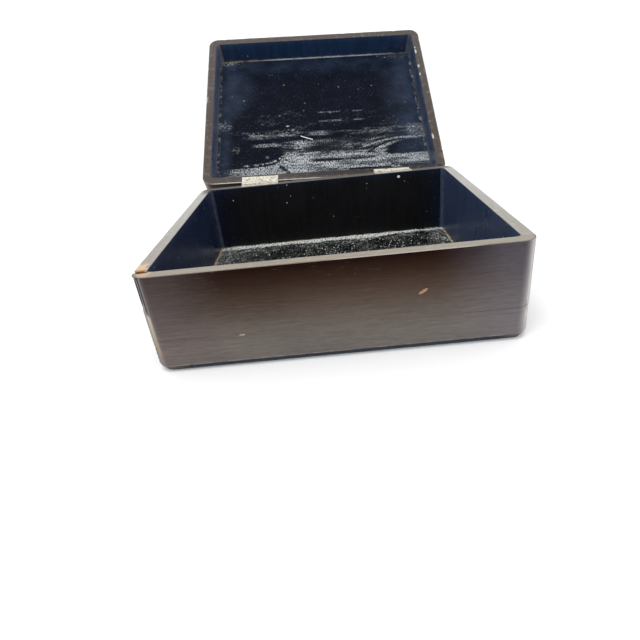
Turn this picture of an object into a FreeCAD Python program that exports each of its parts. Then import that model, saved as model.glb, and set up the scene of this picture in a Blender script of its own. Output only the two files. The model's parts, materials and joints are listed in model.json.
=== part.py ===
"""Wooden jewelry box with a deep hinged lid, standing open.

The box is made of boards, two butt hinges, screws and nails, each its own solid.
Millimetres.  The origin is the centre of the face the box stands on: +X is to the right,
+Y is towards the hinges and +Z is up.  The lid and all that is on it are made in the closed
position and then turned together about the hinge pins to the open position.
"""
import FreeCAD, Part
import math
import os

V = FreeCAD.Vector

# ---- driving dimensions -------------------------------------------------------------------
WIDTH = 260.0            # outside, along X
DEPTH = 220.0            # outside, along Y
BASE_HEIGHT = 73.5       # floor to the rim of the base
WALL = 9.2               # thickness of the base's walls
SEAM_HEIGHT = 26.0       # glue joint between the lower and upper wall boards
BOTTOM_THICK = 9.5       # bottom board
CORNER_R = 12.0          # outer vertical corners
BEVEL_HEIGHT = 5.3       # bevel round the bottom edge and round the lid's top edge
BEVEL_DEPTH = 3.6

LID_WALL = 8.8           # thickness of the lid's walls
LID_WALL_HEIGHT = 25.0   # depth of the lid's hollow
LID_PANEL_THICK = 8.0
RIM_GAP = 0.3            # between the two rims when the lid is closed
LID_SHIFT = -1.0         # the lid sits slightly to the left of the base
OPEN_ANGLE = 140.9       # how far the lid stands open, in degrees

HINGE_X = 70.0           # hinge centres, left and right of the middle
HINGE_LENGTH = 38.0
LEAF_WIDTH = 7.0
LEAF_THICK = 1.1
KNUCKLES = 5             # per hinge; the first, third and last belong to the base leaf
KNUCKLE_R = 1.5
KNUCKLE_GAP = 0.4
PIN_R = 0.75
PIN_CLEARANCE = 0.05
PIN_SETBACK = 1.83       # left pin's axis behind the back face
PIN_SKEW = 0.25          # the right pin is this much further back
PIN_RISE = 0.17          # left pin's axis above the base rim
HINGE_SAG = 3.24         # the right hinge is bent down by this much, so the open lid leans over
NECK_SETBACK = 0.35      # a leaf runs this far past the back face before it bends to its knuckles
NECK_HALF = 1.2          # half the height at which a leaf meets its knuckles
MORTISE_CLEARANCE = 0.15

SCREW_OFFSETS = (-13.0, 0.0, 13.0)   # screws of a leaf, from the hinge's centre
SCREW_HEAD_R = 1.9
SCREW_HEAD_HEIGHT = 1.0
SCREW_SHANK_R = 0.9
SCREW_LENGTH = 9.0
SCREW_TIP = 2.5
SCREW_SLOT_WIDTH = 0.5
SCREW_SLOT_DEPTH = 0.4

NAIL_HEAD_R = 1.3
NAIL_HEAD_HEIGHT = 0.6
NAIL_SHANK_R = 0.7
NAIL_LENGTH = 22.0
PANEL_NAIL_LENGTH = 18.0
NAIL_TIP = 2.0
NAIL_SINK = 4.0          # heads are punched below the surface and filled
PANEL_NAIL_SINK = 2.0
CORNER_NAIL_INSET = 6.0  # in from the side faces, clear of the rounded corner
CORNER_NAIL_HEIGHTS = (15.0, 38.0, 61.0)
BOTTOM_NAIL_X = (-80.0, 0.0, 80.0)
BOTTOM_NAIL_Y = (-50.0, 50.0)
LID_CORNER_NAIL_HEIGHTS = (7.0, 18.0)  # above the lid's rim
PANEL_NAIL_X = (-95.0, 0.0, 95.0)
PANEL_NAIL_Y = (-60.0, 60.0)
FIT_CLEARANCE = 0.05     # around screws and nails in their holes

# ---- places that follow from them ---------------------------------------------------------
RIGHT = WIDTH / 2
BACK = DEPTH / 2
LID_RIM = BASE_HEIGHT + RIM_GAP
LID_WALL_TOP = LID_RIM + LID_WALL_HEIGHT
LID_TOP = LID_WALL_TOP + LID_PANEL_THICK
NECK_END = BACK + NECK_SETBACK
LEFT_PIN = V(-HINGE_X, BACK + PIN_SETBACK, BASE_HEIGHT + PIN_RISE)
RIGHT_PIN = V(HINGE_X, BACK + PIN_SETBACK + PIN_SKEW, BASE_HEIGHT + PIN_RISE - HINGE_SAG)
HINGE_AXIS = (RIGHT_PIN - LEFT_PIN).normalize()
OVERLAP = 0.5            # joins a leaf to its neck


# ---- basic shapes -------------------------------------------------------------------------
def span_box(x_span, y_span, z_span):
    """A box between pairs of X, Y and Z values."""
    low = V(x_span[0], y_span[0], z_span[0])
    high = V(x_span[1], y_span[1], z_span[1])
    size = high - low
    return Part.makeBox(size.x, size.y, size.z, low)


def bevelled_block(bottom, top, bevelled_end):
    """The outside of the box or the lid, with rounded corners and a bevel round one end."""
    block = span_box((-RIGHT, RIGHT), (-BACK, BACK), (bottom, top))
    uprights = [edge for edge in block.Edges if edge.BoundBox.ZLength > CORNER_R]
    block = block.makeFillet(CORNER_R, uprights)
    end_edges = [edge for edge in block.Edges
                 if abs(edge.BoundBox.ZMin - bevelled_end) < 0.01
                 and abs(edge.BoundBox.ZMax - bevelled_end) < 0.01]
    return block.makeChamfer(BEVEL_HEIGHT, BEVEL_DEPTH, end_edges)


def turned(profile):
    """A solid of revolution about Z from (radius, height) points that start and end on the axis."""
    points = [V(radius, 0, height) for radius, height in profile]
    face = Part.Face(Part.makePolygon(points + points[:1]))
    return face.revolve(V(0, 0, 0), V(0, 0, 1), 360)


def aimed(shape, place, direction):
    """Move a fastener whose head faces +Z so that its head is at place and faces direction."""
    moved = shape.copy()
    moved.Placement = FreeCAD.Placement(place, FreeCAD.Rotation(V(0, 0, 1), direction))
    return moved


def at_hinge_axis(x):
    """The point of the hinge axis at this X."""
    return LEFT_PIN + (RIGHT_PIN - LEFT_PIN) * ((x - LEFT_PIN.x) / (RIGHT_PIN.x - LEFT_PIN.x))


def cut_all(board, holes):
    """A board less the holes that reach into it."""
    near = [hole for hole in holes if hole.BoundBox.intersect(board.BoundBox)]
    return board.cut(near) if near else board


# ---- fasteners ----------------------------------------------------------------------------
def screw():
    """Countersunk wood screw, head up, with a slot."""
    body = turned([(0, 0), (SCREW_HEAD_R, 0), (SCREW_SHANK_R, -SCREW_HEAD_HEIGHT),
                   (SCREW_SHANK_R, SCREW_TIP - SCREW_LENGTH), (0, -SCREW_LENGTH)])
    half = SCREW_SLOT_WIDTH / 2
    slot = span_box((-SCREW_HEAD_R, SCREW_HEAD_R), (-half, half), (-SCREW_SLOT_DEPTH, 1))
    return body.cut(slot)


def screw_hole():
    """The space a screw takes in its leaf and in the wood."""
    head = SCREW_HEAD_R + FIT_CLEARANCE
    shank = SCREW_SHANK_R + FIT_CLEARANCE
    return turned([(0, 1), (head, 1), (head, 0), (shank, -SCREW_HEAD_HEIGHT),
                   (shank, SCREW_TIP - SCREW_LENGTH), (0, -SCREW_LENGTH - FIT_CLEARANCE)])


def nail(length, clearance=0.0):
    """Round nail, head up; with clearance it is the hole for that nail."""
    head = NAIL_HEAD_R + clearance
    shank = NAIL_SHANK_R + clearance
    return turned([(0, clearance), (head, clearance), (head, -NAIL_HEAD_HEIGHT - clearance),
                   (shank, -NAIL_HEAD_HEIGHT - clearance), (shank, NAIL_TIP - length),
                   (0, -length - clearance)])


def corner_nail_spots(heights):
    """Spots through the front and back boards into the ends of the side boards, heads outwards."""
    x = RIGHT - CORNER_NAIL_INSET
    y = BACK - NAIL_SINK
    return [(V(side * x, end * y, height), V(0, end, 0))
            for height in heights for side in (-1, 1) for end in (-1, 1)]


def wall_nail_spots(x_values, y_values, inset, height):
    """Spots along the four walls at one height, heads outwards."""
    spots = []
    for end in (-1, 1):
        for x in x_values:
            spots.append((V(x, end * (BACK - inset), height), V(0, end, 0)))
        for y in y_values:
            spots.append((V(end * (RIGHT - inset), y, height), V(end, 0, 0)))
    return spots


def panel_nail_spots():
    """Spots along the middle of the lid's walls, heads up."""
    height = LID_TOP - PANEL_NAIL_SINK
    middle_x = RIGHT - LID_WALL / 2
    middle_y = BACK - LID_WALL / 2
    spots = []
    for end in (-1, 1):
        for x in PANEL_NAIL_X:
            spots.append((V(x, end * middle_y, height), V(0, 0, 1)))
        for y in PANEL_NAIL_Y:
            spots.append((V(end * middle_x, y, height), V(0, 0, 1)))
    return spots


def hinge_screw_spots(rim, direction):
    """Spots of all screws of the leaves on one rim."""
    y = BACK - LEAF_WIDTH / 2
    return [(V(side * HINGE_X + offset, y, rim), direction)
            for side in (-1, 1) for offset in SCREW_OFFSETS]


def group(shape, spots):
    """Copies of a fastener at all its spots."""
    return [aimed(shape, place, direction) for place, direction in spots]


# ---- hinges -------------------------------------------------------------------------------
def knuckle_spans(center_x, of_base):
    """X spans of the knuckles that belong to the base leaf or to the lid leaf."""
    length = (HINGE_LENGTH - (KNUCKLES - 1) * KNUCKLE_GAP) / KNUCKLES
    start = center_x - HINGE_LENGTH / 2
    first = 0 if of_base else 1
    spans = []
    for index in range(first, KNUCKLES, 2):
        low = start + index * (length + KNUCKLE_GAP)
        spans.append((low, low + length))
    return spans


def neck(x_span, z_span):
    """The bent strip between a leaf's edge and the middle of its knuckle."""
    sections = []
    for x in x_span:
        center = at_hinge_axis(x)
        corners = [V(x, NECK_END, z_span[0]), V(x, NECK_END, z_span[1]),
                   V(x, center.y, center.z + NECK_HALF), V(x, center.y, center.z - NECK_HALF)]
        sections.append(Part.makePolygon(corners + corners[:1]))
    return Part.makeLoft(sections, True, True)


def hinge_leaf(center_x, z_span, of_base):
    """A leaf with its screw holes, necks and knuckles, in the closed position."""
    half = HINGE_LENGTH / 2
    leaf = span_box((center_x - half, center_x + half), (BACK - LEAF_WIDTH, BACK), z_span)
    for x_span in knuckle_spans(center_x, of_base):
        start = at_hinge_axis(x_span[0])
        length = at_hinge_axis(x_span[1]).distanceToPoint(start)
        barrel = Part.makeCylinder(KNUCKLE_R, length, start, HINGE_AXIS)
        tab = span_box(x_span, (BACK - OVERLAP, NECK_END), z_span)
        leaf = leaf.fuse([tab, neck(x_span, z_span), barrel])
    bore = hinge_rod(center_x, PIN_R + PIN_CLEARANCE, HINGE_LENGTH)
    return leaf.cut(bore).removeSplitter()


def hinge_rod(center_x, radius, length):
    """A rod along the hinge axis, centred on the hinge."""
    start = at_hinge_axis(center_x) - HINGE_AXIS * (length / 2)
    return Part.makeCylinder(radius, length, start, HINGE_AXIS)


def hinge_pin(center_x):
    """A pin flush with the outer knuckles, its ends slightly chamfered."""
    pin = hinge_rod(center_x, PIN_R, HINGE_LENGTH)
    ends = [edge for edge in pin.Edges if isinstance(edge.Curve, Part.Circle)]
    return pin.makeChamfer(PIN_R / 3, ends)


def mortise(center_x, z_span):
    """The pocket for a leaf in the back wall's rim."""
    half = HINGE_LENGTH / 2 + MORTISE_CLEARANCE
    y_front = BACK - LEAF_WIDTH - MORTISE_CLEARANCE
    return span_box((center_x - half, center_x + half), (y_front, BACK + 1), z_span)


# ---- boards -------------------------------------------------------------------------------
def wall_boards(outside, wall, z_span):
    """Front, back, left and right boards: front and back run through, the sides butt on them."""
    inner_x = RIGHT - wall
    inner_y = BACK - wall
    regions = {
        "front": ((-RIGHT, RIGHT), (-BACK, -inner_y)),
        "back": ((-RIGHT, RIGHT), (inner_y, BACK)),
        "left": ((-RIGHT, -inner_x), (-inner_y, inner_y)),
        "right": ((inner_x, RIGHT), (-inner_y, inner_y)),
    }
    return {side: outside.common(span_box(x_span, y_span, z_span))
            for side, (x_span, y_span) in regions.items()}


def make_base():
    """All nodes of the base, by name."""
    outside = bevelled_block(0.0, BASE_HEIGHT, bevelled_end=0.0)
    corner_spots = corner_nail_spots(CORNER_NAIL_HEIGHTS)
    bottom_spots = wall_nail_spots(BOTTOM_NAIL_X, BOTTOM_NAIL_Y, NAIL_SINK, BOTTOM_THICK / 2)
    screw_spots = hinge_screw_spots(BASE_HEIGHT, V(0, 0, 1))
    screw_holes = group(screw_hole(), screw_spots)
    holes = group(nail(NAIL_LENGTH, FIT_CLEARANCE), corner_spots + bottom_spots) + screw_holes
    mortise_span = (BASE_HEIGHT - LEAF_THICK, BASE_HEIGHT + 1)
    holes += [mortise(side * HINGE_X, mortise_span) for side in (-1, 1)]

    nodes = {}
    for level, z_span in (("lower", (0.0, SEAM_HEIGHT)), ("upper", (SEAM_HEIGHT, BASE_HEIGHT))):
        for side, board in wall_boards(outside, WALL, z_span).items():
            nodes[f"{side}_{level}_board"] = cut_all(board, holes)
    inner_x = RIGHT - WALL
    inner_y = BACK - WALL
    floor = span_box((-inner_x, inner_x), (-inner_y, inner_y), (0.0, BOTTOM_THICK))
    nodes["bottom_board"] = cut_all(floor, holes)

    leaf_span = (BASE_HEIGHT - LEAF_THICK, BASE_HEIGHT)
    for name, side in (("left", -1), ("right", 1)):
        leaf = hinge_leaf(side * HINGE_X, leaf_span, of_base=True)
        nodes[f"{name}_hinge_base_leaf"] = cut_all(leaf, screw_holes)
        nodes[f"{name}_hinge_pin"] = hinge_pin(side * HINGE_X)
    nodes["base_hinge_screws"] = Part.makeCompound(group(screw(), screw_spots))
    nodes["corner_nails"] = Part.makeCompound(group(nail(NAIL_LENGTH), corner_spots))
    nodes["bottom_nails"] = Part.makeCompound(group(nail(NAIL_LENGTH), bottom_spots))
    return nodes


def make_closed_lid():
    """All nodes of the lid, by name, in the closed position."""
    outside = bevelled_block(LID_RIM, LID_TOP, bevelled_end=LID_TOP)
    corner_heights = [LID_RIM + height for height in LID_CORNER_NAIL_HEIGHTS]
    corner_spots = corner_nail_spots(corner_heights)
    panel_spots = panel_nail_spots()
    nail_holes = group(nail(NAIL_LENGTH, FIT_CLEARANCE), corner_spots)
    nail_holes += group(nail(PANEL_NAIL_LENGTH, FIT_CLEARANCE), panel_spots)
    screw_spots = hinge_screw_spots(LID_RIM, V(0, 0, -1))
    screw_holes = group(screw_hole(), screw_spots)
    mortise_span = (LID_RIM - 1, LID_RIM + LEAF_THICK)
    mortises = [mortise(side * HINGE_X, mortise_span) for side in (-1, 1)]

    nodes = {}
    for side, board in wall_boards(outside, LID_WALL, (LID_RIM, LID_WALL_TOP)).items():
        nodes[f"lid_{side}_wall"] = cut_all(board, nail_holes)
    panel = outside.common(span_box((-RIGHT, RIGHT), (-BACK, BACK), (LID_WALL_TOP, LID_TOP)))
    nodes["lid_top_panel"] = cut_all(panel, nail_holes)
    nodes["lid_corner_nails"] = Part.makeCompound(group(nail(NAIL_LENGTH), corner_spots))
    nodes["lid_panel_nails"] = Part.makeCompound(group(nail(PANEL_NAIL_LENGTH), panel_spots))
    for shape in nodes.values():
        shape.translate(V(LID_SHIFT, 0, 0))
    nodes["lid_back_wall"] = cut_all(nodes["lid_back_wall"], mortises + screw_holes)

    leaf_span = (LID_RIM, LID_RIM + LEAF_THICK)
    for name, side in (("left", -1), ("right", 1)):
        leaf = hinge_leaf(side * HINGE_X, leaf_span, of_base=False)
        nodes[f"{name}_hinge_lid_leaf"] = cut_all(leaf, screw_holes)
    nodes["lid_hinge_screws"] = Part.makeCompound(group(screw(), screw_spots))
    return nodes


def opened(shape):
    """A lid piece turned about the hinge pins from closed to open."""
    turned_shape = shape.copy()
    turned_shape.rotate(LEFT_PIN, HINGE_AXIS, -OPEN_ANGLE)
    return turned_shape


def main():
    os.makedirs("parts", exist_ok=True)
    nodes = make_base()
    for name, shape in make_closed_lid().items():
        nodes[name] = opened(shape)
    for name, shape in nodes.items():
        shape.exportStep(f"parts/{name}.step")
        print(f"{name}: {len(shape.Solids)} solid(s), {shape.Volume / 1000:.2f} cm3, "
              f"valid {shape.isValid()}")
    place = "({:.4f}, {:.4f}, {:.4f})".format(*LEFT_PIN)
    axis = "({:.5f}, {:.5f}, {:.5f})".format(*HINGE_AXIS)
    tilt = math.degrees(math.asin(-HINGE_AXIS.z))
    print(f"hinge axis through {place} along {axis}, dipping {tilt:.2f} degrees to the right")


main()
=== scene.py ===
"""Looks of an old wooden jewelry box: dark lacquered boards, dusty inside, plated butt hinges.

Every wall board, the floor and the lid's panel is a dense mesh built around the frame's sizes.
A board starts as a box lattice in tray coordinates: x and y as in the frame and t, the distance
from the rim, all in millimetres.  The base is a tray standing on its closed end, and the closed
lid is a tray turned over.  Edges, corners, wear and relief are worked into the lattice, and the
lid's boards are turned open about the hinge at the end.
"""
import json
import math
from functools import partial, reduce

import bpy
import numpy as np
from mathutils import Matrix, Vector


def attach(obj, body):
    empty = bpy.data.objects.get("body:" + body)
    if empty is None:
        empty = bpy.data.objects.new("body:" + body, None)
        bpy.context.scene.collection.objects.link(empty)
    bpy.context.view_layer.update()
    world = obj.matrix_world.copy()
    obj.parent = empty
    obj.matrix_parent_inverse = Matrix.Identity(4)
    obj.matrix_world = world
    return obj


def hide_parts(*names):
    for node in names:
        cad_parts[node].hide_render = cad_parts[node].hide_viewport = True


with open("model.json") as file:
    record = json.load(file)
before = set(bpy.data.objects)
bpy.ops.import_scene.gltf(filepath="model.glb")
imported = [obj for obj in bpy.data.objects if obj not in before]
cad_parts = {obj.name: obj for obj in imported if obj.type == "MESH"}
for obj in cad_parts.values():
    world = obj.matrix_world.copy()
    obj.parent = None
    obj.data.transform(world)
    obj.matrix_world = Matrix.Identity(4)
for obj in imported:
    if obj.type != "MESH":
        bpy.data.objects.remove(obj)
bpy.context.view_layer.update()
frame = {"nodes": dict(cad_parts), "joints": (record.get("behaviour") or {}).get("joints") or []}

MM = 0.001
NEAR = 0.05                      # millimetres within which two CAD places count as the same
SHARP_ANGLE = math.radians(30)   # between faces, above which their edge is shaded sharp

# ---- tray and edge sizes that the frame doesn't hold, in millimetres ----
EDGE_STEPS = (0.0, 0.25, 0.55, 0.95, 1.5, 2.3, 3.4)   # lattice lines next to an arris
WALL_STEP = (2.2, 2.2)           # between lattice lines, along x and y
PANEL_STEP = (1.6, 0.8)          # the same, along and across the grain of the lid's panel
FLOOR_STEP = (1.8, 1.8)
CORNER_STEP = 1.0
CLOSEST_LINES = 0.08             # lattice lines nearer than this to the one before are left out
RIM_ROUNDING = 0.75              # radius of the rim's outer and inner arris
INNER_ROUNDING = 0.45
SEAM_ROUNDING = 0.015            # radius of the glue joint's arrises, and what opening adds to it
SEAM_OPENING = 0.07
BASE_INNER_FILLET = 3.0          # lacquer that fills the inner corners
LID_INNER_FILLET = 4.5
POCKET_WALL = 0.1                # a mortise's wall leans by this much
POCKET_REACH = 12.0              # how far below a mortise the lattice is squeezed
POCKET_GAP = 0.05                # between a mortise's floor and its leaf
WAVE_DEPTH = 0.05                # unevenness of every lacquered face, in broad waves,
DENT_DEPTH = 0.015               # in small dents,
RELIEF_DEPTH = 0.05              # and along the raised grain of the lid's panel


# ---- measuring the frame ----
hinge = frame["joints"][0]
HINGE_POINT = Vector(hinge["pos_m"])
HINGE_AXIS = Vector(hinge["axis"])
SHUT_ANGLE = math.radians(hinge["range_deg"][1])
CLOSING = (Matrix.Translation(HINGE_POINT) @ Matrix.Rotation(SHUT_ANGLE, 4, HINGE_AXIS)
           @ Matrix.Translation(-HINGE_POINT))


def cad_points(node, closed):
    """The mesh points of a CAD node in millimetres, turned shut first if it is on the lid."""
    mesh = frame["nodes"][node].data
    points = np.empty(len(mesh.vertices) * 3)
    mesh.vertices.foreach_get("co", points)
    points = points.reshape(-1, 3)
    if closed:
        turn = np.array(CLOSING)
        points = points @ turn[:3, :3].T + turn[:3, 3]
    return points / MM


class Tray:
    """Sizes of the base or of the closed lid."""

    def __init__(self, lid):
        prefix, suffix = ("lid_", "_wall") if lid else ("", "_upper_board")
        left, right, front = (cad_points(prefix + side + suffix, lid)
                              for side in ("left", "right", "front"))
        end_piece = cad_points("lid_top_panel" if lid else "left_lower_board", lid)
        floor_piece = cad_points("lid_top_panel" if lid else "bottom_board", lid)
        side = left[:, 0].min()
        self.lid = lid
        self.shift = (side + right[:, 0].max()) / 2
        self.half_x = (right[:, 0].max() - side) / 2
        self.half_y = -front[:, 1].min()
        self.wall = left[:, 0].max() - side
        self.inner_x = self.half_x - self.wall
        self.inner_y = self.half_y - self.wall
        self.rim = front[:, 2].min() if lid else front[:, 2].max()
        self.corner = self.half_y - np.abs(left[left[:, 0] < side + NEAR, 1]).max()
        end = end_piece[:, 2].max() if lid else end_piece[:, 2].min()
        self.depth = abs(end - self.rim)
        end_side = end_piece[:, 0].min()
        from_end = np.abs(end_piece[:, 2] - end)
        self.bevel_height = from_end[end_piece[:, 0] < end_side + NEAR].min()
        self.bevel_depth = end_piece[from_end < NEAR, 0].min() - end_side
        self.fillet = LID_INNER_FILLET if lid else BASE_INNER_FILLET
        self.floor = abs((floor_piece[:, 2].min() if lid else floor_piece[:, 2].max()) - self.rim)
        self.seam = None if lid else self.rim - front[:, 2].min()
        self.pockets = []
        for hinge_side in ("left", "right"):
            leaf = cad_points(f"{hinge_side}_hinge_{'lid' if lid else 'base'}_leaf", lid)
            flat = leaf[leaf[:, 1] < self.half_y]
            low, front_edge, _ = flat.min(axis=0)
            self.pockets.append((low - self.shift, flat[:, 0].max() - self.shift, front_edge,
                                 np.ptp(flat[:, 2])))

    def place(self, tray_points):
        """Tray coordinates to the frame's closed position, in millimetres."""
        x, y, t = tray_points.T
        z = self.rim + t if self.lid else self.rim - t
        return np.stack([x + self.shift, y, z], axis=1)


# ---- noise ----
NOISE_VALUES = 8192              # random values that the lattice's cells share out
NOISE_PRIMES = (73856093, 19349663, 83492791)     # they mix a cell's x, y and z into one number


def noise(points, cell, seed):
    """Smooth noise from -1 to 1, with features about cell millimetres across."""
    table = np.random.default_rng(seed).uniform(-1, 1, NOISE_VALUES)
    scaled = points / np.asarray(cell, float)
    base = np.floor(scaled).astype(np.int64)
    part = scaled - base
    part = part * part * (3 - 2 * part)
    total = np.zeros(len(points))
    for corner in np.ndindex(2, 2, 2):
        index = np.bitwise_xor.reduce((base + corner) * NOISE_PRIMES, axis=1) % NOISE_VALUES
        total += np.prod(np.where(corner, part, 1 - part), axis=1) * table[index]
    return total


def layered_noise(points, cell, seed):
    """Noise with two finer layers added, still about -1 to 1."""
    total = np.zeros(len(points))
    for layer in range(3):
        total += noise(points, np.asarray(cell, float) / 2 ** layer, seed + layer) / 1.8 ** layer
    return total / 1.5


def step(value, low, high):
    """0 below low, 1 above high, smooth between; high may be the smaller one."""
    part = np.clip((value - low) / (high - low), 0, 1)
    return part * part * (3 - 2 * part)


def band(value, middle, half, soft):
    """1 within half of the middle, fading to 0 over soft."""
    return 1 - step(np.abs(value - middle), half, half + soft)


def spot(points, centre, radii, soft):
    """1 in the middle of an ellipsoid and 0 outside it; soft is the share over which it fades."""
    far = np.linalg.norm((points - np.asarray(centre)) / np.asarray(radii), axis=1)
    return 1 - step(far, 1 - soft, 1)


# ---- lattice ----
def lines(low, high, spacing, extra=()):
    """Lattice positions from low to high, closer together at both ends and at extra spans."""
    stops = [low + gap for gap in EDGE_STEPS] + [high - gap for gap in EDGE_STEPS]
    inner_low, inner_high = low + EDGE_STEPS[-1], high - EDGE_STEPS[-1]
    if inner_high > inner_low:
        count = max(1, round((inner_high - inner_low) / spacing))
        stops += list(np.linspace(inner_low, inner_high, count + 1))
    for start, end, fine in extra:
        stops += list(np.arange(start, end + fine / 2, fine))
    stops = sorted(stop for stop in stops if low <= stop <= high)
    kept = [stops[0]]
    for stop in stops[1:]:
        if stop - kept[-1] > CLOSEST_LINES:
            kept.append(stop)
    kept[-1] = high
    return np.array(kept)


def lattice_shell(xs, ys, ts, mirrored):
    """Points of a box lattice's surface, its quads, and the side (0 to 5) that each quad is on."""
    size = (len(xs), len(ys), len(ts))
    outer = np.zeros(size, bool)
    for axis in range(3):
        view = np.moveaxis(outer, axis, 0)
        view[0] = True
        view[-1] = True
    number = np.full(size, -1)
    number[outer] = np.arange(outer.sum())
    points = np.stack(np.meshgrid(xs, ys, ts, indexing="ij"), axis=-1)[outer]
    quads = []
    sides = []
    for axis in range(3):
        for end in (0, 1):
            sheet = np.take(number, -end, axis)
            loop = np.stack([sheet[:-1, :-1], sheet[1:, :-1], sheet[1:, 1:], sheet[:-1, 1:]], -1)
            loop = loop.reshape(-1, 4)
            outward = (end == 1) ^ (axis == 1) ^ mirrored
            quads.append(loop if outward else loop[:, ::-1])
            sides.append(np.full(len(loop), 2 * axis + end))
    return points, np.concatenate(quads), np.concatenate(sides)


def point_normals(points, quads):
    """Unit normals at the points of a quad mesh."""
    first, second = points[quads[:, 2]] - points[quads[:, 0]], points[quads[:, 3]] - points[quads[:, 1]]
    face = np.cross(first, second)
    total = np.zeros_like(points)
    for corner in range(4):
        np.add.at(total, quads[:, corner], face)
    return total / np.maximum(np.linalg.norm(total, axis=1, keepdims=True), 1e-12)


# ---- rounding a board's lattice ----
def ease(a, b, radius):
    """Rounds an arris: a and b are distances from its two faces; returns the new distances."""
    p = np.clip(1 - a / radius, 0, 1)
    q = np.clip(1 - b / radius, 0, 1)
    at_edge = (p > 0) & (q > 0)
    scale = np.maximum(p, q) / np.maximum(np.hypot(p, q), 1e-9)
    new_a = np.where(at_edge, radius * (1 - p * scale), a)
    new_b = np.where(at_edge, radius * (1 - q * scale), b)
    return new_a, new_b


def seam_radius(x, y, tray):
    """How open the glue joint between lower and upper boards is: most near the corners."""
    along = np.abs(x) / tray.half_x * np.abs(y) / tray.half_y
    return SEAM_ROUNDING + SEAM_OPENING * step(along, 0.6, 0.8)


def round_outside(x, y, t, tray, rim_radius):
    """Eases the rim's outer arris and the seam, cuts the bevel and rounds the upright corners."""
    half = np.array([[tray.half_x], [tray.half_y]])
    inward = half - np.abs([x, y])
    nearest = inward.min(axis=0)
    new_t = ease(nearest, t, rim_radius)[1]
    inward = ease(inward, t, rim_radius)[0]
    if tray.seam is not None:
        gap = np.abs(t - tray.seam)
        radius = seam_radius(x, y, tray)
        eased = ease(nearest, gap, radius)[1]
        new_t = np.where(gap < radius, tray.seam + np.where(t > tray.seam, eased, -eased), new_t)
        on_seam = np.isclose(gap, 0)
        above = on_seam & (t.max() < tray.seam + NEAR)
        new_t = np.where(on_seam, tray.seam + np.where(above, -eased, eased), new_t)
        inward = ease(inward, gap, radius)[0]
    inset = tray.bevel_depth * np.clip(1 - (tray.depth - t) / tray.bevel_height, 0, 1)
    shrink = (tray.wall - inset) / tray.wall
    inward = np.where(inward < tray.wall, inset + inward * shrink, inward)
    core = half - tray.corner
    past = half - inward - core
    reach = past.max(axis=0) / tray.corner
    far = np.hypot(*past) / tray.corner
    full = (tray.corner - tray.bevel_depth - 0.4) / tray.corner
    weight = step(reach, (tray.corner - tray.wall) / tray.corner, full)
    scale = 1 + (reach / np.maximum(far, 1e-9) - 1) * weight
    scale = np.where((past > 0).all(axis=0), scale, 1)
    new_x, new_y = np.sign([x, y]) * (core + past * scale)
    return new_x, new_y, new_t


def fill_inner_corner(x, y, t, tray):
    """Swells a side board's inner face where it meets the front and back boards."""
    gap = np.clip(tray.inner_y - np.abs(y), 0, tray.fillet)
    swell = tray.fillet - np.sqrt(tray.fillet ** 2 - (tray.fillet - gap) ** 2)
    swell = swell * step(t, tray.floor + 0.6, tray.floor)
    share = np.clip((tray.half_x - np.abs(x)) / tray.wall, 0, 1)
    return np.sign(x) * (np.abs(x) - swell * share ** 2)


def ease_inner_rim(x, y, t, tray, runs_along_x):
    """Eases the arris between the rim and the inner face of a wall."""
    across, inner = (y, tray.inner_y) if runs_along_x else (x, tray.inner_x)
    room = tray.inner_x - tray.fillet - np.abs(x) if runs_along_x else tray.inner_y - np.abs(y)
    radius = np.maximum(INNER_ROUNDING * step(room, 0.0, 2.0), 1e-6)
    into, new_t = ease(np.abs(across) - inner, t, radius)
    moved = np.sign(across) * (inner + into)
    return (x, moved, new_t) if runs_along_x else (moved, y, new_t)


def sink_pockets(x, y, t, tray):
    """Lowers the rim of the back wall where the hinge leaves lie."""
    new_t = t.copy()
    for low, high, front, thick in tray.pockets:
        inside = (x > low - POCKET_WALL) & (x < high + POCKET_WALL) & (y > front - POCKET_WALL)
        squeeze = np.clip(1 - t / POCKET_REACH, 0, 1)
        new_t = np.where(inside, new_t + (thick + POCKET_GAP) * squeeze, new_t)
    return new_t


# ---- wear ----
def corner_angle(out, y, tray):
    """Degrees round a front corner's rounding, from 0 at the front to 90 at the side."""
    return np.degrees(np.arctan2(out - (tray.half_x - tray.corner), -y - (tray.half_y - tray.corner)))


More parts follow.
